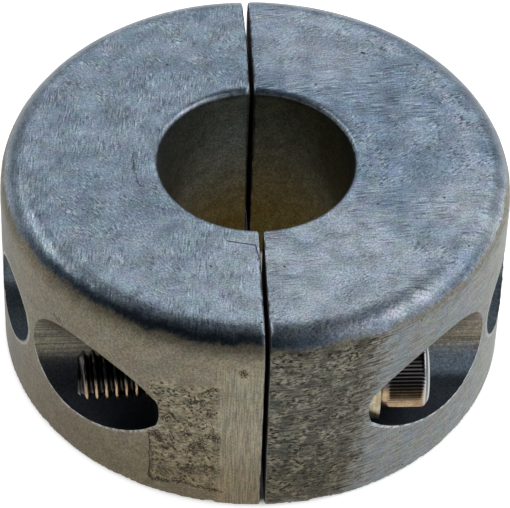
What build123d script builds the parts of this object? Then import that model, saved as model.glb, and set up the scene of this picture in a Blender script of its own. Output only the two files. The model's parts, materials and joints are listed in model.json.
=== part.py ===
"""Split clamp-on shaft anode, in millimetres.

Two identical cast half rings close on a propeller shaft. Two opposed socket-head cap screws draw
them together: each screw bears on a split lock washer in a pocket of one half, passes through a
clearance hole and ends in a tapped hole of the other half.

Frame: +Z along the shaft, +X across the split, origin on the shaft axis at the bottom face.
"""

import os

from build123d import *

# Half rings
SHAFT_DIAMETER = 25.4
OUTER_DIAMETER = 66.0
HEIGHT = 30.0
SPLIT_GAP = 0.5
TOP_EDGE_RADIUS = 4.1
BORE_EDGE_BREAK = 0.5

# Screw stations, one each side of the shaft
SCREW_RIM_DISTANCE = 9.8
SCREW_AXIS_HEIGHT = 14.7
SEAT_THICKNESS = 12.9
POCKET_DIAMETER = 14.3
POCKET_FLOOR_RADIUS = 0.6
SCREW_HOLE_CLEARANCE = 0.35
THREAD_CLEARANCE = 0.05
TAP_COUNTERSINK = 0.5

# Blind side holes, between the screw pockets and the shaft
SIDE_HOLE_DIAMETER = 11.3
SIDE_HOLE_DEPTH = 10.0
SIDE_HOLE_AXIS_HEIGHT = 14.1
SIDE_HOLE_WEB = 1.5

# Cap screws
SCREW_DIAMETER = 6.35
SCREW_LENGTH = 38.1
THREAD_END_CHAMFER = 0.8
HEAD_DIAMETER = 9.53
HEAD_HEIGHT = 6.35
HEAD_EDGE_CHAMFER = 0.6
SOCKET_ACROSS_FLATS = 4.76
SOCKET_DEPTH = 3.05

# Split lock washers
WASHER_DIAMETER = 12.4
WASHER_THICKNESS = 1.57
WASHER_BORE_CLEARANCE = 0.15
WASHER_SPLIT_WIDTH = 0.6
WASHER_SPLIT_ANGLE = 20.0

BORE_RADIUS = SHAFT_DIAMETER / 2
OUTER_RADIUS = OUTER_DIAMETER / 2
SPLIT_FACE = SPLIT_GAP / 2
SCREW_OFFSET = OUTER_RADIUS - SCREW_RIM_DISTANCE
POCKET_FLOOR = SPLIT_FACE + SEAT_THICKNESS
POCKET_RADIUS = POCKET_DIAMETER / 2
SIDE_HOLE_RADIUS = SIDE_HOLE_DIAMETER / 2
SIDE_HOLE_OFFSET = SCREW_OFFSET - POCKET_RADIUS - SIDE_HOLE_WEB - SIDE_HOLE_RADIUS
SIDE_HOLE_MOUTH = (OUTER_RADIUS**2 - SIDE_HOLE_OFFSET**2) ** 0.5
SCREW_RADIUS = SCREW_DIAMETER / 2

ON_BASE = (Align.CENTER, Align.CENTER, Align.MIN)
HANGING = (Align.CENTER, Align.CENTER, Align.MAX)


def along_x(x, y, z):
    """Place whose own Z axis points along the ring's +X."""
    return Location((x, y, z), (0, 90, 0))


def ring_section():
    """Half section of the ring, rounded at its outer top corner; the sketch's Y runs up the shaft."""
    with BuildSketch(Plane.XZ) as section:
        with Locations((BORE_RADIUS, 0)):
            Rectangle(OUTER_RADIUS - BORE_RADIUS, HEIGHT, align=(Align.MIN, Align.MIN))
        outer_top = section.vertices().group_by(Axis.Y)[-1].sort_by(Axis.X)[-1]
        fillet(outer_top, TOP_EDGE_RADIUS)
        chamfer(section.vertices().group_by(Axis.X)[0], BORE_EDGE_BREAK)
    return section.sketch


def pocket_cutter(radius, length, floor_radius):
    """Round cutter standing on z = 0, with its lower edge rounded as the pocket's floor is."""
    with BuildPart() as cutter:
        Cylinder(radius, length, align=ON_BASE)
        fillet(cutter.edges().group_by(Axis.Z)[0], floor_radius)
    return cutter.part


def half_ring():
    """Half ring on the +X side: clearance hole for a screw at -Y, tapped hole at +Y."""
    reach = OUTER_RADIUS - POCKET_FLOOR
    pocket = pocket_cutter(POCKET_RADIUS, reach, POCKET_FLOOR_RADIUS)
    side_floor = SIDE_HOLE_MOUTH - SIDE_HOLE_DEPTH
    side_hole = pocket_cutter(SIDE_HOLE_RADIUS, OUTER_RADIUS - side_floor, POCKET_FLOOR_RADIUS)
    tap_radius = SCREW_RADIUS + THREAD_CLEARANCE
    hole_length = POCKET_FLOOR + POCKET_FLOOR_RADIUS
    with BuildPart() as half:
        add(ring_section())
        revolve(axis=Axis.Z)
        split(bisect_by=Plane.YZ.offset(SPLIT_FACE), keep=Keep.TOP)
        for side in (-1, 1):
            with Locations(along_x(POCKET_FLOOR, side * SCREW_OFFSET, SCREW_AXIS_HEIGHT)):
                add(pocket, mode=Mode.SUBTRACT)
            with Locations(along_x(side_floor, side * SIDE_HOLE_OFFSET, SIDE_HOLE_AXIS_HEIGHT)):
                add(side_hole, mode=Mode.SUBTRACT)
        with Locations(along_x(0, -SCREW_OFFSET, SCREW_AXIS_HEIGHT)):
            Cylinder(SCREW_RADIUS + SCREW_HOLE_CLEARANCE, hole_length, align=ON_BASE, mode=Mode.SUBTRACT)
        with Locations(along_x(0, SCREW_OFFSET, SCREW_AXIS_HEIGHT)):
            Cylinder(tap_radius, hole_length, align=ON_BASE, mode=Mode.SUBTRACT)
        with Locations(along_x(SPLIT_FACE, SCREW_OFFSET, SCREW_AXIS_HEIGHT)):
            Cone(
                tap_radius + TAP_COUNTERSINK,
                tap_radius,
                TAP_COUNTERSINK,
                align=ON_BASE,
                mode=Mode.SUBTRACT,
            )
    return half.part


def lock_washer():
    """Flattened split lock washer standing on z = 0, cut through at a slant."""
    with BuildPart() as washer:
        Cylinder(WASHER_DIAMETER / 2, WASHER_THICKNESS, align=ON_BASE)
        Cylinder(
            SCREW_RADIUS + WASHER_BORE_CLEARANCE,
            WASHER_THICKNESS,
            align=ON_BASE,
            mode=Mode.SUBTRACT,
        )
        cut_centre = (0, WASHER_DIAMETER / 4 + SCREW_RADIUS / 2, WASHER_THICKNESS / 2)
        with Locations(Location(cut_centre, (0, WASHER_SPLIT_ANGLE, 0))):
            Box(
                WASHER_SPLIT_WIDTH,
                WASHER_DIAMETER / 2,
                2 * WASHER_THICKNESS,
                mode=Mode.SUBTRACT,
            )
    return washer.part


def cap_screw():
    """Socket-head cap screw: bearing face of its head on z = 0, socket facing +Z."""
    with BuildPart() as screw:
        Cylinder(HEAD_DIAMETER / 2, HEAD_HEIGHT, align=ON_BASE)
        chamfer(screw.edges().group_by(Axis.Z)[-1], HEAD_EDGE_CHAMFER)
        Cylinder(SCREW_RADIUS, SCREW_LENGTH, align=HANGING)
        chamfer(screw.edges().group_by(Axis.Z)[0], THREAD_END_CHAMFER)
        with BuildSketch(Plane.XY.offset(HEAD_HEIGHT)):
            RegularPolygon(SOCKET_ACROSS_FLATS / 2, 6, major_radius=False)
        extrude(amount=-SOCKET_DEPTH, mode=Mode.SUBTRACT)
    return screw.part


def seated(shape, height):
    """Shape laid along +X in the front pocket, with its z = 0 at the given height over the floor."""
    return along_x(POCKET_FLOOR + height, -SCREW_OFFSET, SCREW_AXIS_HEIGHT) * shape


def half_turned(shape):
    """The same shape on the other side of the shaft."""
    return shape.rotate(Axis.Z, 180)


def main():
    half = half_ring()
    washer = seated(lock_washer(), 0)
    screw = seated(cap_screw(), WASHER_THICKNESS)
    nodes = {
        "anode_half_right": half,
        "anode_half_left": half_turned(half),
        "lock_washer_front": washer,
        "lock_washer_back": half_turned(washer),
        "clamp_screw_front": screw,
        "clamp_screw_back": half_turned(screw),
    }
    os.makedirs("parts", exist_ok=True)
    for name, shape in nodes.items():
        export_step(shape, f"parts/{name}.step")


main()
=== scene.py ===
"""Looks of the split shaft anode: cast zinc half rings, threaded cap screws and lock washers."""

import functools
import itertools
import json
import math

import bmesh
import bpy
import numpy as np
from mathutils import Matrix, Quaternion, Vector
from mathutils.kdtree import KDTree


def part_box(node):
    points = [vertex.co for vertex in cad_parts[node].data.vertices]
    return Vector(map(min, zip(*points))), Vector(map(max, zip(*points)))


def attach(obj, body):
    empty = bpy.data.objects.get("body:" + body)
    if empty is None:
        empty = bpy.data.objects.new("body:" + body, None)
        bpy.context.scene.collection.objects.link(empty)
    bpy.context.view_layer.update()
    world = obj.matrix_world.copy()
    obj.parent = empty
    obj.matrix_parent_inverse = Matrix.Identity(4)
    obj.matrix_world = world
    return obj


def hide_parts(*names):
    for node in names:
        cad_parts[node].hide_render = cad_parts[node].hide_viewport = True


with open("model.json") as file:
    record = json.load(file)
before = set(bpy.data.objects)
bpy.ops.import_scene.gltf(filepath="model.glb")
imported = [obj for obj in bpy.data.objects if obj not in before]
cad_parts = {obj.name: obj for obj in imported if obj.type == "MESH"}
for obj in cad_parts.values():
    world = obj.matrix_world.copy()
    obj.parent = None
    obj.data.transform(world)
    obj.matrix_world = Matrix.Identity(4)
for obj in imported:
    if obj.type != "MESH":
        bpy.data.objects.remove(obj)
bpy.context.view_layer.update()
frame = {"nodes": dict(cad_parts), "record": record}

MM = 0.001

# -------- sizes, read from the frame, in mm


def box_mm(node):
    """Lowest and highest corner of a CAD node, in millimetres."""
    low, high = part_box(node)
    return np.array(low) / MM, np.array(high) / MM


HALF_LOW, HALF_HIGH = box_mm("anode_half_right")
SCREW_LOW, SCREW_HIGH = box_mm("clamp_screw_front")
MOUNTS = {mount["name"]: mount for mount in frame["record"]["mounts"]}

OUTER_RADIUS = HALF_HIGH[0]
HEIGHT = HALF_HIGH[2]
SPLIT_FACE = HALF_LOW[0]
BORE_RADIUS = MOUNTS["shaft_bore"]["dims"]["r_mm"]
SCREW_Y = (SCREW_LOW[1] + SCREW_HIGH[1]) / 2
SCREW_Z = (SCREW_LOW[2] + SCREW_HIGH[2]) / 2
SCREW_TIP = SCREW_LOW[0]
HEAD_TOP = SCREW_HIGH[0]
HEAD_RADIUS = (SCREW_HIGH[1] - SCREW_LOW[1]) / 2
HEAD_SEAT = box_mm("lock_washer_front")[1][0]

# Sizes that the frame's boxes don't give
POCKET_RADIUS = 7.15
SIDE_HOLE_RADIUS = 5.65
SIDE_HOLE_Y = 8.9
SIDE_HOLE_Z = 14.1
THREAD_RADIUS = 3.175
THREAD_PITCH = 1.27
THREAD_DEPTH = 0.72
THREAD_LENGTH = 25.4
TAPER_LENGTH = 0.9
TAPER_DEPTH = 0.75
KNURL_RIDGES = 60
KNURL_DEPTH = 0.16
KNURL_FADE = 0.2
SOCKET_FLATS = 4.76
SOCKET_DEPTH = 3.05
SOCKET_CONE_DEPTH = 0.9

# -------- node wiring


class Graph:
    """Adds nodes to a tree and links or sets their inputs in order."""

    def __init__(self, tree):
        self.tree = tree

    def feed(self, node, key, value):
        """Links a socket to a node's input, or sets a plain value there."""
        if isinstance(value, bpy.types.NodeSocket):
            self.tree.links.new(value, node.inputs[key])
        else:
            node.inputs[key].default_value = value

    def add(self, kind, *values, out=0, named=None, **settings):
        """Output of a new node; its inputs are fed by place and by name, and None leaves one alone."""
        node = self.tree.nodes.new(kind)
        for key, value in settings.items():
            setattr(node, key, value)
        for key, value in [*enumerate(values), *(named or {}).items()]:
            if value is not None:
                self.feed(node, key, value)
        return node.outputs[out]

    def math(self, operation, a, b=None, c=None, clamp=False):
        return self.add("ShaderNodeMath", a, b, c, operation=operation, use_clamp=clamp)

    def plus(self, value, mask, amount):
        """The value plus a mask times an amount."""
        return self.math("MULTIPLY_ADD", mask, amount, value)

    def vector(self, operation, a, b=None, out=0):
        return self.add("ShaderNodeVectorMath", a, b, operation=operation, out=out)

    def scaled(self, vector, factor):
        return self.add("ShaderNodeVectorMath", vector, operation="SCALE", named={"Scale": factor})

    def combine(self, x, y, z):
        return self.add("ShaderNodeCombineXYZ", x, y, z)

    def split(self, vector):
        return self.add("ShaderNodeSeparateXYZ", vector).node.outputs

    def step(self, value, low, high, out_low=0.0, out_high=1.0):
        """Smooth step from out_low to out_high as value goes from low to high."""
        return self.add(
            "ShaderNodeMapRange", value, low, high, out_low, out_high, interpolation_type="SMOOTHSTEP"
        )

    def mix(self, factor, a, b):
        """Number a turning into number b."""
        return self.add("ShaderNodeMix", factor, None, a, b)

    def blend(self, factor, a, b, kind="MIX"):
        """Colour a turning into colour b."""
        first, second = ((*c, 1.0) if isinstance(c, tuple) else c for c in (a, b))
        inputs = {0: factor, 6: first, 7: second}
        return self.add("ShaderNodeMix", out=2, data_type="RGBA", blend_type=kind, named=inputs)

    def gain(self, factor, colour, amount):
        """Colour multiplied by an amount for each channel where factor is 1."""
        return self.blend(factor, colour, self.blend(1.0, colour, amount, "MULTIPLY"))

    def shaded(self, colour, shade):
        """Colour multiplied by one number for all its channels."""
        return self.blend(1.0, colour, self.combine(shade, shade, shade), "MULTIPLY")

    def both(self, *masks):
        """Product of several masks."""
        return functools.reduce(lambda a, b: self.math("MULTIPLY", a, b), masks)

    def either(self, *masks):
        """Largest of several masks."""
        return functools.reduce(lambda a, b: self.math("MAXIMUM", a, b), masks)

    def outside(self, mask):
        return self.math("SUBTRACT", 1.0, mask)

    def window(self, value, low, high, soft):
        """1 between low and high, fading to 0 over soft."""
        rise = self.step(value, low - soft, low + soft)
        fall = self.step(value, high - soft, high + soft, 1.0, 0.0)
        return self.both(rise, fall)

    def noise(self, vector, scale, detail=2.0, roughness=0.5, distortion=0.0):
        names = ("Vector", "Scale", "Detail", "Roughness", "Distortion")
        values = (vector, scale, detail, roughness, distortion)
        return self.add("ShaderNodeTexNoise", named=dict(zip(names, values)))

    def streaks(self, vector, width, length, turn=0.0, detail=1.5, shift=0.0):
        """Noise in dashes of a width and length in mm, which run along Y turned clockwise."""
        angle = {"Angle": math.radians(turn)}
        turned = self.add("ShaderNodeVectorRotate", vector, named=angle, rotation_type="Z_AXIS")
        stretched = self.vector("MULTIPLY", turned, (0.5 / width, 0.5 / length, 0.5))
        moved = self.vector("ADD", stretched, (shift, shift, shift))
        return self.noise(moved, 1.0, detail, 0.55)

    def disc(self, x, y, centre, reach, soft):
        """1 within reach of a centre, fading to 0 over soft."""
        dx = self.math("SUBTRACT", x, centre[0])
        dy = self.math("SUBTRACT", y, centre[1])
        distance = self.vector("LENGTH", self.combine(dx, dy, 0.0), out=1)
        return self.step(distance, reach, reach + soft, 1.0, 0.0)

    def stroke(self, x, y, start, end, width):
        """Closeness to a straight mark from start to end: 1 on it, 0 one width away."""
        run = (end[0] - start[0], end[1] - start[1], 0.0)
        offset = self.vector("SUBTRACT", self.combine(x, y, 0.0), (start[0], start[1], 0.0))
        along = self.vector("DOT_PRODUCT", offset, run, out=1)
        share = self.math("DIVIDE", along, run[0] ** 2 + run[1] ** 2, clamp=True)
        gap = self.vector("DISTANCE", offset, self.scaled(run, share), out=1)
        return self.plus(1.0, gap, -1 / width)

    def strokes(self, x, y, marks, jitter):
        """Mask of several marks, each (start, end, width), with edges roughened by jitter."""
        total = 0.0
        for start, end, width in marks:
            total = self.either(total, self.stroke(x, y, start, end, width))
        return self.step(self.math("ADD", total, jitter), 0.4, 0.52)

    def spots(self, vector, scale, size, seed=0.0):
        """Round spots at random places, 1 at the middle of each; size from 0 to 1."""
        shifted = self.vector("ADD", vector, (seed, seed, seed))
        distance = self.add("ShaderNodeTexVoronoi", named={"Vector": shifted, "Scale": scale})
        return self.step(distance, size * 0.4, size, 1.0, 0.0)


# -------- noise for mesh work


# Multipliers that scramble a lattice corner and a seed into one number
CORNER_PRIMES = np.array((73856093, 19349663, 83492791))
SEED_PRIME = 2654435761
SCRAMBLE = 1274126177


def lattice_noise(points, cell, seed):
    """Smooth noise from -1 to 1 at each point, with features about one cell across."""
    scaled = points / cell
    corner = np.floor(scaled).astype(np.int64)
    part = scaled - corner
    part = part * part * (3 - 2 * part)
    total = np.zeros(len(points))
    for step in itertools.product((0, 1), repeat=3):
        x, y, z = ((corner + np.array(step)) * CORNER_PRIMES).T
        key = x ^ y ^ z ^ (seed * SEED_PRIME)
        key = (key ^ (key >> 13)) * SCRAMBLE & 0xFFFFFFFF
        key = (key ^ (key >> 16)) & 0xFFFF
        weight = np.prod(np.where(np.array(step), part, 1 - part), axis=1)
        total += weight * (key / 32767.5 - 1)
    return total


def rough_noise(points, cell, seed):
    """Sum of three halving octaves of lattice noise."""
    return sum(lattice_noise(points, cell / 2**k, seed + k) / 2**k for k in range(3))


def smooth(value, low, high):
    """Smooth step of an array from 0 at low to 1 at high."""
    t = np.clip((value - low) / (high - low), 0, 1)
    return t * t * (3 - 2 * t)


# -------- mesh helpers


def link(name, mesh):
    piece = bpy.data.objects.new(name, mesh)
    bpy.context.scene.collection.objects.link(piece)
    return piece


def baked(piece, name):
    """The piece with its modifiers applied, as a new plain mesh object."""
    evaluated = piece.evaluated_get(bpy.context.evaluated_depsgraph_get())
    mesh = bpy.data.meshes.new_from_object(evaluated)
    mesh.name = name
    bpy.data.objects.remove(piece)
    return link(name, mesh)


def rows(items, field, width, kind=float):
    """A field of every item in one of a mesh's collections, as rows of an array."""
    flat = np.zeros(len(items) * width, kind)
    items.foreach_get(field, flat)
    return flat.reshape(-1, width)


def shade_smooth(mesh, angle):
    """Smooth shading, apart from edges sharper than an angle in degrees."""
    mesh.polygons.foreach_set("use_smooth", np.ones(len(mesh.polygons), bool))
    mesh.update()
    mesh.set_sharp_from_angle(angle=math.radians(angle))


def relax(points, ends, amount, rounds):
    """Moves each point towards the mean of its neighbours, by its own amount."""
    count = np.bincount(ends.ravel(), minlength=len(points))[:, None]
    for _ in range(rounds):
        total = np.zeros_like(points)
        np.add.at(total, ends[:, 0], points[ends[:, 1]])
        np.add.at(total, ends[:, 1], points[ends[:, 0]])
        points = points + amount[:, None] * (total / count - points)
    return points


# -------- the castings


def sharp_edge_points(mesh, angle=35.0, spacing=0.15):
    """Points along the mesh's sharp edges, in mm."""
    bm = bmesh.new()
    bm.from_mesh(mesh)
    found = []
    for edge in bm.edges:
        if len(edge.link_faces) == 2 and edge.calc_face_angle() > math.radians(angle):
            a, b = (np.array(v.co) / MM for v in edge.verts)
            steps = max(1, int(np.linalg.norm(b - a) / spacing))
            found.extend(a + (b - a) * (k / steps) for k in range(steps + 1))
    bm.free()
    return np.array(found)


def nearest(points, targets):
    """Distance from each point to its nearest target, and that target."""
    tree = KDTree(len(targets))
    for index, target in enumerate(targets):
        tree.insert(target, index)
    tree.balance()
    hits = [tree.find(p) for p in points]
    return np.array([h[2] for h in hits]), np.array([h[0] for h in hits])


def merged_copy(node):
    mesh = frame["nodes"][node].data.copy()
    bm = bmesh.new()
    bm.from_mesh(mesh)
    bmesh.ops.remove_doubles(bm, verts=bm.verts, dist=0.001 * MM)
    bm.to_mesh(mesh)
    bm.free()
    return mesh


# Octree of the even mesh
REMESH_DEPTH = 8
REMESH_SCALE = 0.7

# Wear of the castings, in mm, and the crease angles of smooth shading, in degrees
EDGE_WEAR_REACH = 0.45
CHIP_DEPTH = 0.16
SLIGHT_CHIP_DEPTH = 0.05
SWELL_HEIGHT = 0.05
RIPPLE_HEIGHT = 0.02
WORM_DEPTH = 0.08
PIT_DEPTH = 0.11
FULL_SCAR_DEPTH = 0.2
BURR_REACH = 0.35
BURR_HEIGHT = 0.05
BURR_PEAK_HEIGHT = 0.09
LEFT_STAND_OFF = 0.28
CASTING_CREASE = 48
SCREW_CREASE = 40


def even_mesh(source, name):
    """The CAD form on a fine even mesh, as a new piece without a material."""
    shell = link("fine", source)
    remesh = shell.modifiers.new("even mesh", "REMESH")
    remesh.mode = "SHARP"
    remesh.octree_depth = REMESH_DEPTH
    remesh.scale = REMESH_SCALE
    remesh.use_remove_disconnected = False
    piece = baked(shell, name)
    piece.data.materials.clear()
    return piece


class CastingForm:
    """Mesh points of a half ring, in mm, and masks of the regions where they are worn and scarred."""

    def __init__(self, mesh, edges, seed):
        self.seed = seed
        self.ends = rows(mesh.edges, "vertices", 2, np.int64)
        self.points = rows(mesh.vertices, "co", 3) / MM
        self.normals = rows(mesh.vertex_normals, "vector", 3)
        x, y, z = self.points.T
        self.distance, edge_at = nearest(self.points, edges)
        edge_radius = np.hypot(edge_at[:, 0], edge_at[:, 1])
        self.edge_height = edge_at[:, 2]
        self.on_mouth = (edge_radius > OUTER_RADIUS - 0.4) & (np.abs(edge_at[:, 0]) > 1)
        self.on_mouth &= (self.edge_height > 3) & (self.edge_height < HEIGHT - 5)
        self.on_bore = edge_radius < BORE_RADIUS + 1
        radius = np.hypot(x, y)
        self.arc = OUTER_RADIUS * np.arctan2(x, -y)
        facing = (self.normals[:, 0] * x + self.normals[:, 1] * y) / np.maximum(radius, 1)
        self.wall = smooth(radius, OUTER_RADIUS - 1.0, OUTER_RADIUS - 0.4) * smooth(facing, 0.3, 0.7)
        self.top = smooth(self.normals[:, 2], 0.5, 0.9) * smooth(z, HEIGHT - 5, HEIGHT - 3)

    def push(self, amount):
        """Moves each point outwards by its own amount."""
        self.points += self.normals * amount[:, None]

    def wear_edges(self):
        """Rounds the edges, apart from those of the pocket mouths, and chips them all slightly."""
        near_edge = np.exp(-((self.distance / EDGE_WEAR_REACH) ** 2))
        softness = np.where(self.on_mouth, 0.0, 0.5)
        self.points = relax(self.points, self.ends, softness * near_edge, 3)
        ragged = rough_noise(self.points, 1.3, self.seed + 3)
        chip = np.where(self.on_mouth | self.on_bore, SLIGHT_CHIP_DEPTH, CHIP_DEPTH)
        self.push(-near_edge * smooth(ragged, 0.15, 0.9) * chip)

    def swell(self):
        """Makes the cast skin of the wall and the top slightly uneven."""
        wave = SWELL_HEIGHT * lattice_noise(self.points, 11.0, self.seed)
        wave = wave + RIPPLE_HEIGHT * rough_noise(self.points, 2.2, self.seed + 9)
        self.push(wave * (self.wall + self.top))

    def scar(self, arc_range, height_range):
        """Sinks worm tracks and pits into the patch beside the split, and gives their depth."""
        near, far = arc_range
        low, high = height_range
        wander = 0.9 * lattice_noise(self.points, 3.1, self.seed + 20)
        span = np.abs(self.arc) + wander
        level = self.points[:, 2] + wander
        patch = smooth(span, near - 0.3, near + 0.5)
        patch *= 1 - smooth(span, far - 0.5, far + 0.4)
        patch *= smooth(level, low - 0.4, low + 0.5)
        patch *= 1 - smooth(level, high - 0.8, high + 0.6)
        patch *= self.wall * smooth(-self.points[:, 1], 10, 16)
        worms = 1 - np.abs(lattice_noise(self.points, 1.5, self.seed + 30))
        pits = smooth(rough_noise(self.points, 1.1, self.seed + 40), 0.25, 1.0)
        depth = patch * (WORM_DEPTH * smooth(worms, 0.78, 1.0) + PIT_DEPTH * pits)
        self.push(-depth)
        return depth

    def raise_burrs(self):
        """Raises a burr along the lower lips of the pocket mouths."""
        lip = np.where(self.on_mouth, np.exp(-((self.distance / BURR_REACH) ** 2)), 0) * self.wall
        lip *= smooth(self.edge_height, SCREW_Z + 2, SCREW_Z - 3)
        uneven = smooth(rough_noise(self.points, 0.8, self.seed + 50), -0.1, 0.8)
        self.push(lip * (BURR_HEIGHT + BURR_PEAK_HEIGHT * uneven))

    def stand_off(self, amount):
        """Moves the back of the split face away from the other half ring."""
        x, y = self.points[:, 0], self.points[:, 1]
        self.points[:, 0] -= amount * smooth(y, 22, 33) * np.exp(-((x / 1.6) ** 2))


# Seed of each half ring's wear, and its scarred patch, in mm: arc length from the split, and height
SCARRED = {
    "left": (11, (5.3, 14.6), (2.6, 19.0)),
    "right": (57, (0.9, 14.0), (1.0, 21.5)),
}


def casting(side):
    """One half ring: the CAD form on a fine even mesh, worn, pitted and scarred."""
    seed, arc_range, height_range = SCARRED[side]
    node = f"anode_half_{side}"
    source = merged_copy(node)
    edges = sharp_edge_points(source)
    piece = even_mesh(source, f"half_ring_{side}")
    mesh = piece.data
    form = CastingForm(mesh, edges, seed)
    form.wear_edges()
    form.swell()
    depth = form.scar(arc_range, height_range)
    form.raise_burrs()
    if side == "left":
        form.stand_off(LEFT_STAND_OFF)
    mesh.vertices.foreach_set("co", (form.points * MM).ravel())
    share = np.clip(depth / FULL_SCAR_DEPTH, 0, 1)
    mesh.attributes.new("depth", "FLOAT", "POINT").data.foreach_set("value", share.astype(np.float32))
    shade_smooth(mesh, CASTING_CREASE)
    mesh.materials.append(cast_zinc)
    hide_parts(node)
    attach(piece, "root")
    return piece


# -------- materials


def new_material(name):
    material = bpy.data.materials.new(name)
    material.use_nodes = True
    graph = Graph(material.node_tree)
    shader = material.node_tree.nodes["Principled BSDF"]
    return material, graph, shader


def set_shader(g, shader, **inputs):
    """Feeds the shader's inputs, named here with underscores for spaces."""
    for name, value in inputs.items():
        g.feed(shader, name.replace("_", " "), value)


def dashes(g, vector, width, length, turn, shift):
    """Mask of short strokes, in mm, that cover about a third of the surface."""
    return g.step(g.streaks(vector, width, length, turn, 1.5, shift), 0.51, 0.61)


def top_marks(g, place, right):
    """Light and dark strokes of the filed and scuffed top, as two masks."""
    zone = g.noise(place, 0.09, 2.0, 0.5)
    slanting_left = g.step(zone, 0.48, 0.6)
    slanting_right = g.step(zone, 0.44, 0.54)
    masks = []
    for shift in (0.0, 41.0):
        upright = dashes(g, place, 0.11, 0.85, 6.0, shift)
        slanted_back = dashes(g, place, 0.13, 0.36, -38.0, shift + 5.0)
        level = dashes(g, place, 0.11, 1.3, 84.0, shift + 9.0)
        slanted = dashes(g, place, 0.13, 0.4, 58.0, shift + 13.0)
        left_side = g.blend(slanting_left, upright, slanted_back)
        right_side = g.blend(slanting_right, level, slanted)
        masks.append(g.blend(right, left_side, right_side))
    return masks


def hole_distance(g, y, z, offset, height):
    """Distance from the axis of the nearer of two holes that run along X at +-offset."""
    across = g.math("SUBTRACT", g.math("ABSOLUTE", y), offset)
    above = g.math("SUBTRACT", z, height)
    return g.vector("LENGTH", g.combine(across, above, 0.0), out=1)


# Single marks, in mm, each its two ends and half its width: on the top as x, y, and on the wall as
# arc length from the front, height
TOP_CRACKS = (
    ((-4.3, -14.9), (-0.8, -15.7), 0.16),
    ((-0.8, -15.7), (-0.45, -18.0), 0.14),
    ((16.2, 6.55), (18.4, 6.5), 0.1),
    ((21.5, -8.4), (25.0, -8.5), 0.09),
    ((15.0, 20.0), (15.2, 19.9), 0.34),
    ((22.1, 17.5), (22.2, 17.4), 0.22),
)
WALL_CRACKS = (
    ((-30.1, 22.7), (-29.2, 21.9), 0.2),
    ((-29.4, 22.9), (-28.6, 22.0), 0.16),
    ((-14.9, 10.8), (-14.8, 2.3), 0.22),
    ((-14.6, 2.2), (-10.4, 3.0), 0.42),
    ((-10.0, 2.9), (-5.4, 2.4), 0.36),
    ((-6.2, 21.6), (-8.0, 20.2), 0.36),
    ((-8.4, 18.9), (-10.4, 17.9), 0.26),
    ((-12.2, 15.6), (-10.9, 14.2), 0.3),
    ((-14.0, 10.9), (-13.5, 10.3), 0.8),
    ((-13.2, 8.9), (-12.8, 8.6), 0.6),
    ((-12.0, 7.6), (-11.7, 7.4), 0.5),
    ((-8.4, 11.0), (-7.6, 10.2), 1.15),
    ((-9.3, 9.4), (-8.7, 9.0), 0.6),
    ((-10.4, 12.5), (-9.5, 12.3), 0.55),
    ((-6.3, 12.8), (-6.0, 12.2), 0.8),
    ((-10.6, 5.6), (-9.4, 5.0), 0.6),
    ((-7.4, 6.9), (-6.6, 6.5), 0.5),
    ((-2.95, 25.1), (-2.85, 24.8), 0.8),
    ((4.0, 10.3), (5.2, 11.2), 0.42),
    ((6.6, 8.6), (7.6, 9.0), 0.42),
    ((5.0, 6.2), (6.2, 7.3), 0.36),
)

# Paler areas of the top, partly burnished by handling and partly painted light, in mm: centre, reach
# and how far they fade
BURNISHED_AND_LIT = (((9.0, -22.0), 6.0, 14.0), ((8.0, 23.0), 3.0, 9.0), ((28.0, -10.0), 2.0, 9.0))

# Colours of the casting, in linear light; a pair is blended by a cloudy mask or from left to right
TOP_LEFT = ((0.19, 0.245, 0.3), (0.245, 0.3, 0.355))
TOP_RIGHT = ((0.18, 0.245, 0.32), (0.26, 0.32, 0.39))
# Paler areas of the top, partly burnished and partly painted light
TOP_BURNISHED_AND_LIT = (0.39, 0.425, 0.465)
# Painted light: the front of the flat top
TOP_FRONT_LIGHT = (0.34, 0.4, 0.455)
TOP_GREY = (0.27, 0.3, 0.3)
# Painted shade: the back of the top on the right
TOP_BACK_RIGHT_SHADE = (0.15, 0.2, 0.265)
# Painted highlight: a paler band near the top's right end
TOP_RING_HIGHLIGHT = (0.44, 0.5, 0.56)
STROKE_LIGHT = (0.6, 0.65, 0.68)
STROKE_DARK = (0.06, 0.095, 0.145)
# Painted dark reflections on the top's rounded edge, at the back and at the front
BACK_RIM_DARK_REFLECTION = (0.06, 0.08, 0.1)
FRONT_RIM_DARK_REFLECTION = ((0.03, 0.047, 0.065), (0.06, 0.11, 0.155))
WALL_TAN = ((0.228, 0.197, 0.131), (0.3, 0.262, 0.18))
WALL_STRIP = (0.38, 0.335, 0.235)
WALL_SWEPT = ((0.29, 0.3, 0.28), (0.245, 0.28, 0.3))
WALL_SCABBY = ((0.27, 0.23, 0.14), (0.44, 0.375, 0.235))
WALL_ROUGH = ((0.068, 0.07, 0.05), (0.195, 0.178, 0.13))
HOLE_UPPER = ((0.15, 0.13, 0.09), (0.32, 0.275, 0.19))
# Lower half of the pockets: painted shade on the left, painted light on the right
HOLE_LOWER_SHADED_AND_LIT = ((0.09, 0.1, 0.115), (0.32, 0.405, 0.48))
SIDE_HOLE_LOWER = (0.19, 0.24, 0.28)
# Painted shade at the pockets' bottom
POCKET_BOTTOM_SHADE = (0.06, 0.075, 0.095)
BORE_LOW = ((0.17, 0.115, 0.022), (0.21, 0.15, 0.045))
BORE_LEFT = ((0.2, 0.235, 0.22), (0.27, 0.3, 0.28))
BORE_RIGHT = ((0.11, 0.12, 0.09), (0.15, 0.16, 0.125))
SPLIT_BROWN = (0.05, 0.035, 0.018)
FLAW_BLACK = (0.022, 0.018, 0.012)
WORN_ZINC = (0.5, 0.53, 0.56)
LIP_ZINC = (0.76, 0.78, 0.79)

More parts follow.
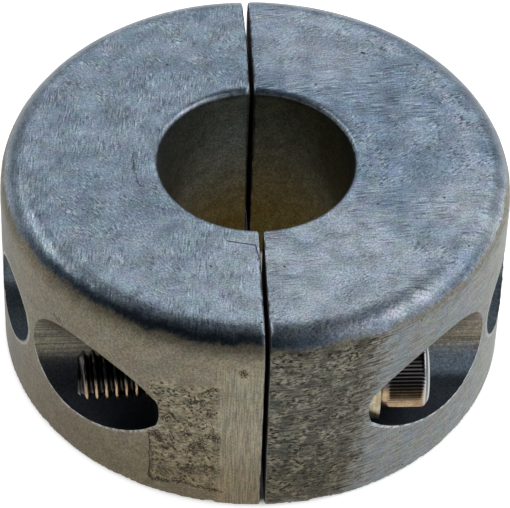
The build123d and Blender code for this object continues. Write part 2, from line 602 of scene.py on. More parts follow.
# Gains on the wall's colour: painted shade towards the bottom, on the left and on the far left, and a
# warmer tone towards the right end
WALL_LOW_SHADE = (0.78, 0.72, 0.6)
WALL_LEFT_SHADE = (0.8, 0.785, 0.73)
GAIN_RIGHT = (1.0, 0.97, 0.84)
WALL_FAR_LEFT_SHADE = (0.62, 0.65, 0.66)


class CastingSurface:
    """Places, in mm, and masks of the regions that the finish of a half ring is made of."""

    def __init__(self, g):
        texture = g.tree.nodes.new("ShaderNodeTexCoord").outputs
        self.place = g.scaled(texture["Object"], 1 / MM)
        self.x, self.y, self.z = x, y, z = g.split(self.place)
        self.across, _, up = g.split(texture["Normal"])
        spoke = g.combine(x, y, 0.0)
        self.radius = g.vector("LENGTH", spoke, out=1)
        outwards = g.vector("DOT_PRODUCT", texture["Normal"], spoke, out=1)
        facing = g.math("DIVIDE", outwards, self.radius)
        self.arc = g.math("MULTIPLY", g.math("ARCTAN2", x, g.math("MULTIPLY", y, -1.0)), OUTER_RADIUS)
        self.skin = g.combine(self.arc, z, g.math("MULTIPLY", self.radius, 0.2))
        self.wander = g.math("SUBTRACT", g.noise(self.place, 0.4, 3.0), 0.5)
        self.ragged = g.math("SUBTRACT", g.noise(self.place, 1.6, 3.0, 0.6), 0.5)
        self.around = g.streaks(self.skin, 0.08, 1.1, 89.0, shift=11.0)
        self.right = g.step(x, -0.1, 0.1)
        within = g.step(self.radius, BORE_RADIUS + 0.25, BORE_RADIUS + 0.1)
        self.bore = g.both(within, g.step(up, 0.6, 0.3))
        self.topside = self.find_topside(g)
        self.inside = self.find_inside(g, facing)
        self.outer = g.outside(g.either(self.topside, self.inside, self.bore))
        self.find_wall_patches(g)
        self.grain = g.noise(self.place, 2.7, 3.0, 0.6)
        self.fine = g.noise(self.place, 4.2, 2.0, 0.65)
        self.blotch = g.noise(self.place, 0.16, 4.0, 0.6)
        self.cloud = g.noise(self.place, 0.55, 4.0, 0.65)

    def find_topside(self, g):
        """The blue-grey top and rounded edge, down to a soft border on the edge's lower part."""
        left = g.step(self.arc, -46.0, -22.0, HEIGHT - 2.0, HEIGHT - 1.4)
        right = g.step(self.arc, 0.5, 22.0, HEIGHT - 1.75, HEIGHT - 2.05)
        border = g.mix(self.right, left, right)
        border = g.plus(border, self.wander, 1.0)
        border = g.plus(border, self.ragged, 0.9)
        self.over_border = g.math("SUBTRACT", self.z, border)
        return g.step(self.over_border, -0.3, 0.45)

    def find_inside(self, g, facing):
        """The walls and floors of the pockets and holes, between the bore and the outer wall."""
        behind_wall = g.step(self.radius, OUTER_RADIUS - 0.35, OUTER_RADIUS - 1.0)
        inside = g.either(behind_wall, g.step(facing, 0.8, 0.7))
        inside = g.both(inside, g.step(self.radius, BORE_RADIUS + 0.5, BORE_RADIUS + 0.9))
        return g.both(inside, g.step(self.z, HEIGHT - 4.5, HEIGHT - 6), g.step(self.z, 0.6, 1.2))

    def find_wall_patches(self, g):
        """The cold-shut patches beside the split and the two kinds of smoother wall."""
        edge = g.plus(self.arc, self.wander, 5.0)
        edge = g.plus(edge, self.ragged, 1.8)
        level = g.plus(self.z, self.wander, 3.0)
        scabby = g.both(self.outer, g.step(self.arc, -15.0, -14.7), g.step(edge, -5.2, -7.0))
        self.scabby = g.both(scabby, g.window(level, 2.0, 21.5, 0.6))
        slanted = g.plus(edge, self.z, -0.12)
        slanted = g.plus(slanted, self.around, 9.0)
        reach = g.both(g.step(self.arc, -0.3, 0.3), g.step(slanted, 18.0, 14.0))
        self.rough = g.both(self.outer, reach, g.window(level, 0.6, 28.2, 1.0))
        strip = g.both(g.step(edge, -8.4, -4.8), g.step(self.arc, 0.3, -0.3))
        self.strip = g.both(self.outer, strip, g.step(level, 27.5, 24.0))
        self.swept = g.both(self.outer, self.right, g.outside(self.rough), g.step(self.z, 28.2, 27.0))


def casting_pits(g, at, tatters):
    """Mask of the dark pits, worm tracks and pores that the casting left."""
    cloud = g.noise(at.place, 0.5, 3.0, 0.6)
    ridge = g.math("ABSOLUTE", g.math("SUBTRACT", g.noise(at.skin, 0.62, 3.0, 0.65, 0.9), 0.5))
    worms = g.both(g.step(ridge, 0.034, 0.016), g.step(cloud, 0.42, 0.52))
    cluster = g.step(g.noise(at.skin, 0.36, 2.0), 0.46, 0.56)
    pits = g.both(g.spots(at.skin, 1.3, 0.42, 5.0), cluster)
    scabs = g.both(at.scabby, g.either(worms, pits))
    flecks = g.both(g.step(tatters, 0.455, 0.415), g.step(cloud, 0.4, 0.52))
    holes = g.both(g.spots(at.skin, 0.8, 0.26, 9.0), g.step(cloud, 0.45, 0.6))
    holes = g.both(at.rough, g.either(flecks, holes))
    pores = g.both(g.spots(at.place, 0.28, 0.06, 2.0), g.outside(at.bore))
    return g.either(scabs, holes, pores)


def single_cracks(g, at):
    """Mask of the cracks, scratches and larger pits that are placed one by one."""
    slight = g.both(at.ragged, 0.5)
    on_top = g.strokes(at.x, at.y, TOP_CRACKS, slight)
    on_top = g.both(on_top, g.step(at.z, HEIGHT - 0.6, HEIGHT - 0.3))
    level = g.plus(at.z, at.ragged, 1.6)
    along = g.plus(at.arc, at.ragged, -1.2)
    jitter = g.step(at.fine, 0.38, 0.62, -0.5, 0.45)
    on_wall = g.strokes(along, level, WALL_CRACKS, jitter)
    on_wall = g.both(on_wall, at.outer, g.step(at.y, 0.0, -2.0))
    return g.either(on_top, on_wall)


def mouth_lips(g, at):
    """Mask of the bright burrs on the lower lips of the pockets and round the side holes."""
    pocket_edge = hole_distance(g, at.y, at.z, -SCREW_Y, SCREW_Z)
    pocket_edge = g.plus(pocket_edge, at.ragged, 0.9)
    side_edge = hole_distance(g, at.y, at.z, SIDE_HOLE_Y, SIDE_HOLE_Z)
    side_edge = g.plus(side_edge, at.ragged, 0.4)
    lip = g.window(pocket_edge, POCKET_RADIUS - 0.1, POCKET_RADIUS + 0.32, 0.06)
    lip = g.both(lip, g.step(at.z, SCREW_Z - 1.0, SCREW_Z - 4.0), g.step(at.ragged, -0.07, 0.03))
    lip = g.both(lip, g.step(at.right, 0.0, 1.0, 0.6, 1.0))
    side_lip = g.window(side_edge, SIDE_HOLE_RADIUS + 0.1, SIDE_HOLE_RADIUS + 0.45, 0.06)
    return g.both(g.either(lip, g.both(side_lip, 0.35)), at.outer)


def worn_edges(g, at):
    """Mask of the bright metal on the worn edges of the split and the bore's upper edge."""
    split_edge = g.plus(g.math("ABSOLUTE", at.x), at.ragged, 0.5)
    split_edge = g.step(split_edge, SPLIT_FACE + 0.22, SPLIT_FACE + 0.08)
    split_edge = g.both(split_edge, g.step(g.math("ABSOLUTE", at.across), 0.9, 0.7))
    split_edge = g.both(split_edge, g.step(at.right, 0.0, 1.0, 0.6, 0.25))
    bore_edge = g.plus(at.radius, at.ragged, 1.4)
    bore_edge = g.window(bore_edge, BORE_RADIUS, BORE_RADIUS + 0.45, 0.12)
    bore_edge = g.both(bore_edge, g.step(at.z, HEIGHT - 0.8, HEIGHT - 0.3))
    bore_edge = g.both(bore_edge, g.step(at.y, -2.0, 6.0, 0.25, 0.6), g.step(at.ragged, -0.12, 0.12))
    return g.either(split_edge, bore_edge)


def witness_line(g, at):
    """Mask of a short arc that a turning tool left on the top, beside the bore."""
    ring = g.plus(at.radius, at.ragged, 0.9)
    ring = g.window(ring, BORE_RADIUS + 3.0, BORE_RADIUS + 3.25, 0.08)
    return g.both(ring, at.topside, g.disc(at.x, at.y, (-15.2, -1.5), 2.2, 3.0))


def top_colour(g, at, strokes):
    """Blue-grey tarnish, with paler areas partly burnished and partly painted light, a painted lighter
    front, painted shade at the back right, a painted highlight ring near the right end and painted dark
    reflections low on the rounded edge.
    """
    # Paler areas, partly burnished by handling and partly painted light
    burnish_and_light = None
    for centre, reach, soft in BURNISHED_AND_LIT:
        area = g.disc(at.x, at.y, centre, reach, soft)
        burnish_and_light = area if burnish_and_light is None else g.either(burnish_and_light, area)
    burnish_and_light = g.both(burnish_and_light, g.step(at.blotch, 0.25, 0.55, 0.5, 1.0))
    blotchy = g.step(at.blotch, 0.35, 0.65)
    colour = g.blend(at.right, g.blend(blotchy, *TOP_LEFT), g.blend(blotchy, *TOP_RIGHT))
    colour = g.blend(g.both(burnish_and_light, 0.9), colour, TOP_BURNISHED_AND_LIT)
    # Painted light: the flat top is lighter towards the front
    flat = g.step(at.z, HEIGHT - 0.5, HEIGHT - 0.1)
    colour = g.blend(g.both(flat, g.step(at.y, -8.0, -22.0), 0.5), colour, TOP_FRONT_LIGHT)
    colour = g.blend(g.step(at.cloud, 0.5, 0.7, 0.0, 0.35), colour, TOP_GREY)
    # Painted shade: the top is darker at the back on the right
    colour = g.blend(g.both(at.right, g.step(at.y, 8.0, 24.0), 0.4), colour, TOP_BACK_RIGHT_SHADE)
    # Painted highlight: a paler band round the top near its right end
    ring = g.window(at.radius, OUTER_RADIUS - 6.0, OUTER_RADIUS - 4.4, 0.9)
    ring = g.both(ring, at.right, g.step(at.arc, 30.0, 46.0))
    colour = g.blend(g.both(ring, 0.35), colour, TOP_RING_HIGHLIGHT)
    return with_rim_reflections(g, at, with_strokes(g, at, colour, burnish_and_light, strokes))


def with_strokes(g, at, colour, burnish_and_light, strokes):
    """The top's colour under its light and dark strokes; the dark ones are fainter in the paler areas,
    which are partly burnished and partly painted light.
    """
    light, dark = strokes
    scuffed = g.step(at.cloud, 0.4, 0.6, 0.35, 1.25)
    scuffed = g.both(scuffed, g.step(at.z, HEIGHT - 1.1, HEIGHT - 0.3, 0.6, 1.0))
    colour = g.blend(g.both(light, scuffed, 0.38), colour, STROKE_LIGHT)
    strength = g.plus(g.step(at.right, 0.0, 1.0, 0.58, 0.74), burnish_and_light, -0.3)
    return g.blend(g.both(dark, scuffed, strength), colour, STROKE_DARK)


def with_rim_reflections(g, at, colour):
    """The top's colour with painted dark reflections on the rounded edge, at the back and beside the
    front split.
    """
    # Painted dark reflection along the back of the rounded edge
    back_rim_reflection = g.both(g.step(at.y, -8.0, 10.0), g.step(at.z, HEIGHT - 0.15, HEIGHT - 0.9))
    colour = g.blend(g.both(back_rim_reflection, 0.75), colour, BACK_RIM_DARK_REFLECTION)
    # Painted dark reflection on the front of the rounded edge, beside the split
    calm = g.plus(at.over_border, at.ragged, 0.65)
    front_rim_reflection = g.both(g.step(calm, 1.3, 0.55), g.step(at.arc, -52.0, -30.0), g.step(at.arc, 11.0, 0.0))
    return g.blend(g.both(front_rim_reflection, 0.86), colour, g.blend(at.right, *FRONT_RIM_DARK_REFLECTION))


def wall_colour(g, at):
    """Tan to grey oxide of the outer wall, with its rough and swept patches, painted shade towards the
    bottom and on the left, and warmer towards the right end.
    """
    tan = g.blend(g.step(at.cloud, 0.3, 0.7), *WALL_TAN)
    wall = g.blend(g.both(at.strip, 0.8), tan, WALL_STRIP)
    cloudy = g.step(at.cloud, 0.4, 0.6)
    sweep = g.blend(cloudy, *WALL_SWEPT)
    wall = g.blend(g.both(at.swept, g.step(at.around, 0.3, 0.6, 0.5, 1.0)), wall, sweep)
    wall = g.blend(g.both(at.scabby, 0.8), wall, g.blend(cloudy, *WALL_SCABBY))
    patchy = g.blend(g.step(at.cloud, 0.35, 0.65), *WALL_ROUGH)
    wall = g.blend(g.both(at.rough, 0.9), wall, patchy)
    # Painted shade: the wall is darker towards the bottom, on the left and on the far left
    wall = g.gain(g.both(g.step(at.z, 14.0, 3.0), g.outside(at.swept)), wall, WALL_LOW_SHADE)
    wall = g.gain(g.step(at.arc, -13.0, -34.0), wall, WALL_LEFT_SHADE)
    wall = g.gain(g.step(at.arc, 28.0, 44.0), wall, GAIN_RIGHT)
    far_left = g.both(g.step(at.arc, -36.0, -44.0), g.step(at.arc, -66.0, -54.0))
    return g.gain(far_left, wall, WALL_FAR_LEFT_SHADE)


def hole_colour(g, at):
    """Bare turned metal in the holes, tan above; below, the pockets have painted shade, blue-black, on
    the left, painted light, blue-grey, on the right and painted shade at their bottom, and the side
    holes are blue-grey.
    """
    turned = g.noise(g.vector("MULTIPLY", at.place, (0.12, 3.6, 3.6)), 1.0, 2.0)
    upper = g.blend(g.step(turned, 0.38, 0.62), *HOLE_UPPER)
    side_hole = g.step(g.math("ABSOLUTE", at.y), 15.0, 14.5)
    # Painted shade in the left pocket's lower half and painted light in the right one's
    lower = g.blend(at.right, *HOLE_LOWER_SHADED_AND_LIT)
    lower = g.blend(side_hole, lower, SIDE_HOLE_LOWER)
    # Painted shade at the bottom of the pockets
    lower = g.blend(g.both(g.step(at.z, 9.6, 8.6), g.outside(side_hole)), lower, POCKET_BOTTOM_SHADE)
    level = g.plus(at.z, side_hole, -5.0)
    return g.blend(g.step(level, 13.0, 10.0), upper, lower)


def bore_colour(g, at):
    """Brown low in the bore, grey above, and darker on the right."""
    cloudy = g.step(at.cloud, 0.4, 0.6)
    low = g.blend(cloudy, *BORE_LOW)
    high = g.blend(at.right, g.blend(cloudy, *BORE_LEFT), g.blend(cloudy, *BORE_RIGHT))
    return g.blend(g.step(at.z, 6.0, 25.0), low, high)


def tinted(g, colour, vector, scale, amount, seed):
    """The colour with a drift of its three channels."""
    shifted = g.vector("ADD", vector, (seed, seed, seed))
    drift = g.add("ShaderNodeTexNoise", out=1, named={"Vector": shifted, "Scale": scale, "Detail": 2.0})
    gain = g.vector("MULTIPLY", drift, (2 * amount, 2 * amount, 2 * amount))
    gain = g.vector("ADD", gain, (1 - amount, 1 - amount, 1 - amount))
    return g.blend(1.0, colour, gain, "MULTIPLY")


def wall_streaks(g, at, upright, tatters):
    """Pattern of the marks: a kind and direction for each patch of wall, and plain grain elsewhere."""
    streak = g.blend(at.strip, at.grain, upright)
    streak = g.blend(at.swept, streak, at.around)
    torn = g.blend(g.both(at.right, g.step(at.cloud, 0.56, 0.48)), tatters, at.around)
    return g.blend(g.either(at.rough, at.scabby), streak, torn)


def casting_shade(g, at, streak, depth, witness):
    """Gain of the light and dark marks: streaks on walls, mottle on the top, and specks on both."""
    strong = g.both(at.rough, g.step(at.cloud, 0.35, 0.6, 0.55, 1.25))
    contrast = g.plus(0.35, strong, 0.95)
    contrast = g.plus(contrast, at.scabby, 0.35)
    contrast = g.plus(contrast, at.strip, 0.2)
    wall_shade = g.plus(1.0, g.step(streak, 0.38, 0.62, -0.5, 0.5), contrast)
    mottle = g.step(g.noise(at.place, 0.3, 3.0, 0.6), 0.34, 0.66, 0.76, 1.1)
    shade = g.mix(at.topside, wall_shade, mottle)
    speckle = g.step(at.fine, 0.36, 0.64, 0.72, 1.3)
    shade = g.both(shade, speckle, g.step(depth, 0.05, 0.7, 1.0, 0.6))
    return g.both(shade, g.step(witness, 0.0, 1.0, 1.0, 0.5))


def casting_bump(g, at, streak, pits):
    """Fine relief of the grain, the streaks and the pits."""
    relief = g.mix(at.topside, g.both(streak, 0.7), g.both(at.grain, 0.9))
    relief = g.plus(relief, at.fine, 0.4)
    relief = g.plus(relief, pits, -1.2)
    return g.add("ShaderNodeBump", named={"Strength": 0.4, "Distance": 0.08 * MM, "Height": relief})


def casting_gloss(g, at, in_split, flaws):
    """Roughness and metallic: wall and split are rougher, and wall, holes and split less metallic."""
    roughness = g.plus(0.43, at.grain, -0.2)
    roughness = g.plus(roughness, in_split, 0.3)
    roughness = g.plus(roughness, at.outer, 0.16)
    metallic = g.plus(0.85, at.outer, -0.35)
    metallic = g.either(metallic, flaws)
    metallic = g.plus(metallic, g.either(at.inside, in_split), -0.6)
    return roughness, metallic


def cast_zinc_material():
    """Tarnished cast zinc: blue-grey scuffed top, tan rough walls, turned holes."""
    material, g, shader = new_material("tarnished_cast_zinc")
    at = CastingSurface(g)
    depth = g.add("ShaderNodeAttribute", out="Fac", attribute_name="depth")
    strokes = top_marks(g, at.place, at.right)
    upright = g.streaks(at.skin, 0.07, 1.6, 0.0, shift=3.0)
    tatters = g.streaks(at.skin, 0.13, 0.3, 84.0, 3.0, shift=19.0)
    pits = casting_pits(g, at, tatters)
    lip = mouth_lips(g, at)
    worn = worn_edges(g, at)
    witness = witness_line(g, at)

    colour = g.blend(at.topside, wall_colour(g, at), top_colour(g, at, strokes))
    colour = g.blend(at.inside, colour, hole_colour(g, at))
    colour = g.blend(at.bore, colour, bore_colour(g, at))
    near_split = g.step(g.math("ABSOLUTE", at.x), 0.6, 0.45)
    in_split = g.both(near_split, g.step(g.math("ABSOLUTE", at.across), 0.7, 0.9))
    colour = g.blend(g.both(in_split, 0.85), colour, SPLIT_BROWN)
    colour = tinted(g, colour, at.place, 0.45, 0.13, 7.0)
    colour = tinted(g, colour, at.place, 1.5, 0.07, 23.0)

    streak = wall_streaks(g, at, upright, tatters)
    shade = casting_shade(g, at, streak, depth, witness)
    colour = g.shaded(colour, shade)
    flaws = g.either(pits, single_cracks(g, at))
    colour = g.blend(g.both(flaws, 0.93), colour, FLAW_BLACK)
    colour = g.blend(worn, colour, WORN_ZINC)
    colour = g.blend(g.both(lip, 0.9), colour, LIP_ZINC)
    bump = casting_bump(g, at, streak, pits)
    roughness, metallic = casting_gloss(g, at, in_split, flaws)
    set_shader(g, shader, Base_Color=colour, Metallic=metallic, Roughness=roughness, Normal=bump)
    return material


# Colours of the steel, in linear light: the paler and the darker side of the screw's orange-brown, a
# painted warm reflection of the pocket and floor, and of the washer's brown film; then painted shade
# and a painted highlight on the screw
# Painted warm reflection of the pocket and floor on the screw
SCREW_WARM_REFLECTION = ((0.47, 0.345, 0.215), (0.34, 0.215, 0.12))
WASHER_FILM = ((0.48, 0.42, 0.3), (0.34, 0.28, 0.18))
# Painted shade above the screw's axis, painted highlight on the head's end, painted shade in the
# grooves
SCREW_UPPER_SHADE = (0.055, 0.058, 0.068)
HEAD_END_HIGHLIGHT = (0.5, 0.515, 0.515)
GROOVE_SHADE = (0.03, 0.027, 0.024)


def screw_painted_light(g, place, colour):
    """The steel's colour with painted shade above the axis, a painted highlight on the head's end and
    painted shade in the grooves.
    """
    x, y, z = g.split(place)
    along = g.math("MULTIPLY", x, g.math("MULTIPLY", g.math("SIGN", y), -1.0))
    # Painted shade on the screw's upper half
    colour = g.blend(g.step(z, SCREW_Z + 0.1, SCREW_Z + 2.0, 0.0, 0.92), colour, SCREW_UPPER_SHADE)
    # Painted highlight on the end of the head
    end = g.step(along, HEAD_TOP - 0.9, HEAD_TOP - 0.6)
    end = g.both(end, g.step(z, SCREW_Z - 2.5, SCREW_Z - 0.5, 0.3, 0.9))
    colour = g.blend(end, colour, HEAD_END_HIGHLIGHT)
    # Painted shade in the thread and knurl grooves
    reach = hole_distance(g, y, z, -SCREW_Y, SCREW_Z)
    shank = g.step(reach, THREAD_RADIUS - 0.05, THREAD_RADIUS - 0.22)
    shank = g.both(shank, g.step(reach, 2.35, 2.4))
    knurl = g.both(g.step(reach, HEAD_RADIUS - 0.05, HEAD_RADIUS - 0.12), g.step(reach, 4.3, 4.4))
    return g.blend(g.either(shank, g.both(knurl, 0.7)), colour, GROOVE_SHADE)


def steel_material(name, film_and_reflection_colours, roughness, painted_light=None):
    """Stainless steel with turning marks and a brown tone, on the screw a painted warm reflection and
    on the washer a thin film, under painted light where that is given.
    """
    material, g, shader = new_material(name)
    place = g.scaled(g.add("ShaderNodeTexCoord", out="Object"), 1 / MM)
    tone_cloud = g.noise(place, 0.9, 4.0, 0.6)
    turning = g.streaks(place, 0.07, 1.0, 0.0)
    pale, dark = film_and_reflection_colours
    # Paler and darker tone: on the screw a painted warm reflection, on the washer its film
    colour = g.blend(g.step(tone_cloud, 0.35, 0.65), dark, pale)
    colour = g.shaded(colour, g.step(turning, 0.3, 0.7, 0.85, 1.12))
    if painted_light:
        colour = painted_light(g, place, colour)
    bump = g.add("ShaderNodeBump", named={"Strength": 0.3, "Distance": 0.03 * MM, "Height": turning})
    set_shader(g, shader, Base_Color=colour, Metallic=1.0, Roughness=roughness, Normal=bump)
    return material


def seen_mask(g):
    """1 for a ray from the camera, or one that left a glossy or clear surface."""
    path = g.tree.nodes.new("ShaderNodeLightPath").outputs
    return g.either(path["Is Camera Ray"], path["Is Glossy Ray"], path["Is Transmission Ray"])


FLOOR_GLOW = 0.85
FLOOR_REACH = 6.0
FLOOR_GAP = 0.05


def floor_material():
    """Pale floor that reads white beside the object, and keeps the object's shadow; inside the bore it
    has a dim painted glow.
    """
    material, g, shader = new_material("pale_floor")
    set_shader(g, shader, Base_Color=(0.8, 0.8, 0.8, 1.0), Roughness=0.9)
    distance = g.vector("LENGTH", g.add("ShaderNodeTexCoord", out="Object"), out=1)
    beside = g.step(distance, (OUTER_RADIUS - 1.5) * MM, (OUTER_RADIUS + 0.5) * MM)
    # Painted light: the floor glows at 0.3 inside the bore, for the light that comes down it
    within = g.step(distance, (BORE_RADIUS - 0.5) * MM, (BORE_RADIUS + 0.5) * MM, 0.3, 0.02)
    beside = g.either(beside, within)
    strength = g.both(seen_mask(g), beside, FLOOR_GLOW)
    glow = g.add("ShaderNodeEmission", (1.0, 1.0, 1.0, 1.0), strength)
    total = g.add("ShaderNodeAddShader", shader.outputs[0], glow)
    g.feed(g.tree.nodes["Material Output"], "Surface", total)
    return material


# -------- screws and washers


HEXAGON = None  # in place of a radius: a ring of the socket's hexagon


def hexagon_radius(angle):
    turn = (angle + math.pi / 6) % (math.pi / 3) - math.pi / 6
    return SOCKET_FLATS / 2 / math.cos(turn)


def lathe(profile, segments):
    """Points and faces of a body turned about X, from (x, radius) pairs, closed at both ends."""
    points, faces = [(profile[0][0], 0.0, 0.0)], []
    for x, radius in profile:
        for k in range(segments):
            angle = 2 * math.pi * k / segments
            reach = hexagon_radius(angle) if radius is HEXAGON else radius
            points.append((x, reach * math.cos(angle), reach * math.sin(angle)))
    points.append((profile[-1][0], 0.0, 0.0))
    last = len(points) - 1
    for k in range(segments):
        after = (k + 1) % segments
        faces.append((0, 1 + k, 1 + after))
        for ring in range(len(profile) - 1):
            a, b = 1 + ring * segments, 1 + (ring + 1) * segments
            faces.append((a + k, b + k, b + after, a + after))
        end = 1 + (len(profile) - 1) * segments
        faces.append((last, end + after, end + k))
    return points, faces


THREAD_RINGS_PER_TURN = 12
SHANK_SEGMENTS = 64
KNURL_RINGS = 24
SEGMENTS_PER_RIDGE = 4


def shank_profile():
    """The screw's shank from its tip into the head, with rings close enough to take the thread."""
    profile = [(SCREW_TIP, 2.2), (SCREW_TIP + 0.02, 2.35)]
    rings = int(THREAD_LENGTH / THREAD_PITCH * THREAD_RINGS_PER_TURN)
    profile += [(SCREW_TIP + 0.05 + THREAD_LENGTH * k / rings, THREAD_RADIUS) for k in range(rings)]
    thread_end = SCREW_TIP + THREAD_LENGTH
    return profile + [(thread_end + 0.4, THREAD_RADIUS), (HEAD_SEAT + 0.2, THREAD_RADIUS)]


def head_profile():
    """The head from its seat over its edge down into the socket."""
    seat, top, floor = HEAD_SEAT, HEAD_TOP, HEAD_TOP - SOCKET_DEPTH
    profile = [(seat, THREAD_RADIUS), (seat, HEAD_RADIUS - 0.35), (seat + 0.12, HEAD_RADIUS - 0.1)]
    profile += [(seat + 0.35, HEAD_RADIUS)]
    length = top - seat - 1.2
    profile += [(seat + 0.5 + length * k / KNURL_RINGS, HEAD_RADIUS) for k in range(KNURL_RINGS + 1)]
    profile += [(top - 0.45, HEAD_RADIUS - 0.12), (top - 0.12, HEAD_RADIUS - 0.55)]
    profile += [(top, HEAD_RADIUS - 0.75), (top, 3.1)]
    return profile + [(top - 0.15, HEXAGON), (floor, HEXAGON), (floor - SOCKET_CONE_DEPTH, 0.3)]


def cap_screw_mesh():
    """Smooth screw blank, front screw's place: head, socket and plain shank."""
    body = bmesh.new()
    head_segments = KNURL_RIDGES * SEGMENTS_PER_RIDGE
    for profile, segments in ((shank_profile(), SHANK_SEGMENTS), (head_profile(), head_segments)):
        points, faces = lathe(profile, segments)
        verts = [body.verts.new((x * MM, (y + SCREW_Y) * MM, (z + SCREW_Z) * MM)) for x, y, z in points]
        for face in faces:
            body.faces.new([verts[i] for i in face])
    bmesh.ops.recalc_face_normals(body, faces=body.faces)
    mesh = bpy.data.meshes.new("screw_blank")
    body.to_mesh(mesh)
    body.free()
    return mesh


# Inputs of the thread and knurl tree: metres, apart from the count of ridges
SCREW_SIZES = {
    "Axis Y": SCREW_Y * MM,
    "Axis Z": SCREW_Z * MM,
    "Thread start": (SCREW_TIP + 0.01) * MM,
    "Thread end": (SCREW_TIP + THREAD_LENGTH) * MM,
    "Pitch": THREAD_PITCH * MM,
    "Thread depth": THREAD_DEPTH * MM,
    "Knurl start": (HEAD_SEAT + 1.0) * MM,
    "Knurl end": (HEAD_TOP - 0.75) * MM,
    "Ridges": float(KNURL_RIDGES),
    "Knurl depth": KNURL_DEPTH * MM,
}


def thread_groove(g, entry, x, reach, turn):
    """Depth of the thread's groove and of the taper at the screw's tip."""
    wave = g.math("PINGPONG", g.math("SUBTRACT", g.math("DIVIDE", x, entry["Pitch"]), turn), 0.5)
    groove = g.math("MULTIPLY", g.step(wave, 0.06, 0.44), entry["Thread depth"])
    after_start = g.math("GREATER_THAN", x, entry["Thread start"])
    before_end = g.math("LESS_THAN", x, entry["Thread end"])
    on_shank = g.math("LESS_THAN", reach, (THREAD_RADIUS + 0.02) * MM)
    taper_end = g.math("ADD", entry["Thread start"], TAPER_LENGTH * MM)
    taper = g.step(x, entry["Thread start"], taper_end, TAPER_DEPTH * MM, 0.0)
    return g.both(g.either(groove, taper), after_start, before_end, on_shank)


def knurl_groove(g, entry, x, reach, turn):
    """Depth of the grooves round the side of the head."""
    ridge = g.math("PINGPONG", g.math("MULTIPLY", turn, entry["Ridges"]), 0.5)
    groove = g.math("MULTIPLY", g.step(ridge, 0.1, 0.4), entry["Knurl depth"])
    start, end = entry["Knurl start"], entry["Knurl end"]
    rise = g.step(x, start, g.math("ADD", start, KNURL_FADE * MM))
    fall = g.step(x, end, g.math("SUBTRACT", end, KNURL_FADE * MM))
    on_side = g.math("GREATER_THAN", reach, (HEAD_RADIUS - 0.02) * MM)
    return g.both(groove, g.both(rise, fall), on_side)


def thread_and_knurl_tree(material):
    """Geometry nodes that cut the thread and the knurl into a screw blank."""
    tree = bpy.data.node_groups.new("thread_and_knurl", "GeometryNodeTree")
    tree.interface.new_socket("Geometry", in_out="INPUT", socket_type="NodeSocketGeometry")
    for name in SCREW_SIZES:
        tree.interface.new_socket(name, in_out="INPUT", socket_type="NodeSocketFloat")
    tree.interface.new_socket("Geometry", in_out="OUTPUT", socket_type="NodeSocketGeometry")
    g = Graph(tree)
    entry = tree.nodes.new("NodeGroupInput").outputs
    x, y, z = g.split(g.add("GeometryNodeInputPosition"))
    dy = g.math("SUBTRACT", y, entry["Axis Y"])
    dz = g.math("SUBTRACT", z, entry["Axis Z"])
    reach = g.math("SQRT", g.math("ADD", g.math("MULTIPLY", dy, dy), g.math("MULTIPLY", dz, dz)))
    turn = g.math("DIVIDE", g.math("ARCTAN2", dz, dy), 2 * math.pi)
    groove = thread_groove(g, entry, x, reach, turn)
    knurl = knurl_groove(g, entry, x, reach, turn)
    inward = g.math("DIVIDE", g.math("ADD", groove, knurl), g.math("MAXIMUM", reach, 0.1 * MM))
    outward = g.math("MULTIPLY", inward, -1.0)
    shift = g.combine(0.0, g.math("MULTIPLY", dy, outward), g.math("MULTIPLY", dz, outward))
    moved = g.add("GeometryNodeSetPosition", entry["Geometry"], named={"Offset": shift})
    whole = g.add("GeometryNodeRealizeInstances", moved)
    coated = g.add("GeometryNodeSetMaterial", whole, named={"Material": material})
    g.feed(tree.nodes.new("NodeGroupOutput"), "Geometry", coated)
    return tree


def cap_screw(where, tree):
    """One screw: the blank with its thread and knurl cut, turned to its side of the shaft."""
    blank = link("blank", cap_screw_mesh())
    cut = blank.modifiers.new("thread and knurl", "NODES")
    cut.node_group = tree
    for socket in tree.interface.items_tree:
        if socket.name in SCREW_SIZES:
            cut[socket.identifier] = SCREW_SIZES[socket.name]
    piece = baked(blank, f"socket_screw_{where}")
    if where == "back":
        points = rows(piece.data.vertices, "co", 3)
        points[:, :2] *= -1
        piece.data.vertices.foreach_set("co", points.ravel())
    shade_smooth(piece.data, SCREW_CREASE)
    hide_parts(f"clamp_screw_{where}")
    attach(piece, "root")
    return piece


# -------- light, floor and camera


def aimed(name, data, azimuth, elevation, distance, roll=0.0):
    """New lamp or camera that faces the object's middle; angles in degrees, distance in metres."""
    a, e = math.radians(azimuth), math.radians(elevation)
    back = Vector((math.sin(a) * math.cos(e), -math.cos(a) * math.cos(e), math.sin(e)))
    eye = bpy.data.objects.new(name, data)
    eye.location = Vector((0, 0, HEIGHT / 2 * MM)) + back * distance
    eye.rotation_mode = "QUATERNION"
    turn = (-back).to_track_quat("-Z", "Y")
    eye.rotation_quaternion = turn @ Quaternion((0, 0, 1), math.radians(roll))
    bpy.context.scene.collection.objects.link(eye)
    return eye


PANEL_DISTANCE = 0.9
COOL_WHITE = (0.94, 0.97, 1.0)
WARM_WHITE = (1.0, 0.99, 0.97)

# Soft panels: name, azimuth and elevation in degrees, size in metres, radiance and colour
PANELS = (
    ("panel_back", 166, 43, (1.15, 0.55), 0.98, COOL_WHITE),
    ("panel_left", -124, 43, (0.42, 0.32), 2.8, WARM_WHITE),
    ("panel_right", 85, 40, (0.78, 0.46), 1.45, WARM_WHITE),
)


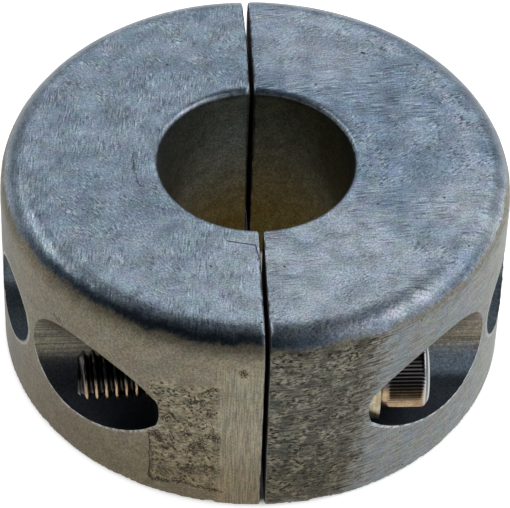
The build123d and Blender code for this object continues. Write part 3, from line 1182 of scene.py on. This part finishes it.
def softbox(name, azimuth, elevation, size, radiance, colour):
    """Soft lamp panel that faces the object, at a given radiance."""
    data = bpy.data.lights.new(name, "AREA")
    data.shape = "RECTANGLE"
    data.size, data.size_y = size
    data.energy = radiance * math.pi * size[0] * size[1]
    data.color = colour
    aimed(name, data, azimuth, elevation, PANEL_DISTANCE)


def plain_world():
    """Dim world, brightest behind and to the right of the object, with a white horizon to look at."""
    world = bpy.data.worlds.new("studio")
    bpy.context.scene.world = world
    world.use_nodes = True
    g = Graph(world.node_tree)
    x, y, z = g.split(g.add("ShaderNodeTexCoord", out="Generated"))
    behind = g.both(g.step(z, 0.3, 0.92, 0.5, 0.08), g.step(y, -0.35, 0.35, 0.12, 1.0))
    beside = g.both(g.step(x, 0.15, 0.65), g.step(z, 0.97, 0.8, 0.0, 0.55))
    horizon = g.both(seen_mask(g), g.step(z, 0.05, 0.13, 1.0, 0.0))
    sky = world.node_tree.nodes["Background"]
    g.feed(sky, "Strength", g.either(behind, beside, horizon))
    g.feed(sky, "Color", g.blend(horizon, (0.88, 0.96, 1.08), (1.0, 1.0, 1.0)))


def studio_floor():
    """Flat floor just under the object."""
    square = ((-1, -1), (1, -1), (1, 1), (-1, 1))
    corners = [(x * FLOOR_REACH, y * FLOOR_REACH, -FLOOR_GAP * MM) for x, y in square]
    mesh = bpy.data.meshes.new("floor")
    mesh.from_pydata(corners, [], [(0, 1, 2, 3)])
    mesh.materials.append(floor_material())
    link("floor", mesh)


def studio():
    bpy.context.scene.view_settings.view_transform = "Standard"
    for panel in PANELS:
        softbox(*panel)
    plain_world()
    studio_floor()


CAMERA_AZIMUTH = -3.94
CAMERA_ELEVATION = 45.12
CAMERA_ROLL = 1.97
CAMERA_DISTANCE = 0.46
CAMERA_LENS = 246.5
CAMERA_SHIFT = (0.0029, -0.0262)


def camera():
    data = bpy.data.cameras.new("camera")
    data.lens = CAMERA_LENS
    data.sensor_width = 36.0
    data.shift_x, data.shift_y = CAMERA_SHIFT
    data.clip_start, data.clip_end = 0.01, 20.0
    eye = aimed("camera", data, CAMERA_AZIMUTH, CAMERA_ELEVATION, CAMERA_DISTANCE, CAMERA_ROLL)
    bpy.context.scene.camera = eye


# -------- the scene

camera()
cast_zinc = cast_zinc_material()
screw_steel = steel_material("stainless_screw", SCREW_WARM_REFLECTION, 0.28, screw_painted_light)
washer_steel = steel_material("stainless_washer", WASHER_FILM, 0.34)
for half in ("left", "right"):
    casting(half)
screw_tree = thread_and_knurl_tree(screw_steel)
for end in ("front", "back"):
    cap_screw(end, screw_tree)
    washer = frame["nodes"][f"lock_washer_{end}"]
    washer.data.materials.clear()
    washer.data.materials.append(washer_steel)
studio()
